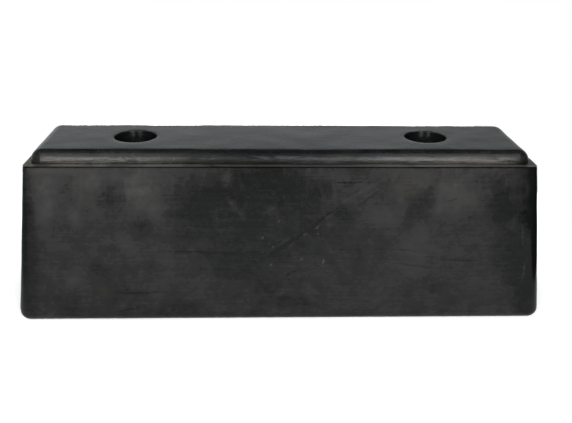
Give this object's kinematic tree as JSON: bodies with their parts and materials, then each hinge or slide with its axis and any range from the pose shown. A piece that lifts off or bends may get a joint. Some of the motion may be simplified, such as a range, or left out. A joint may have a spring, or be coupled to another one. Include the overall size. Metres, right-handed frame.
{
  "type": "dock bumper",
  "caption": "Moulded black rubber dock bumper: a long flared block with a raised pad on its face and deep bolt wells, fixed to a wall to take the knock of reversing vehicles.",
  "frame": {"origin": "centre of the flat mounting face, which is the underside of the block as it stands", "axes": "+X along the block's length, +Y across it, +Z out of the wall along the bolt wells, towards the raised pad"},
  "size_m": [0.45, 0.133, 0.145],
  "materials": {
    "moulded_rubber": "satin black, with mould streaks and a little dust"
  },
  "bodies": {
    "root": {"bumper_block": "moulded_rubber"}
  },
  "joints": []
}
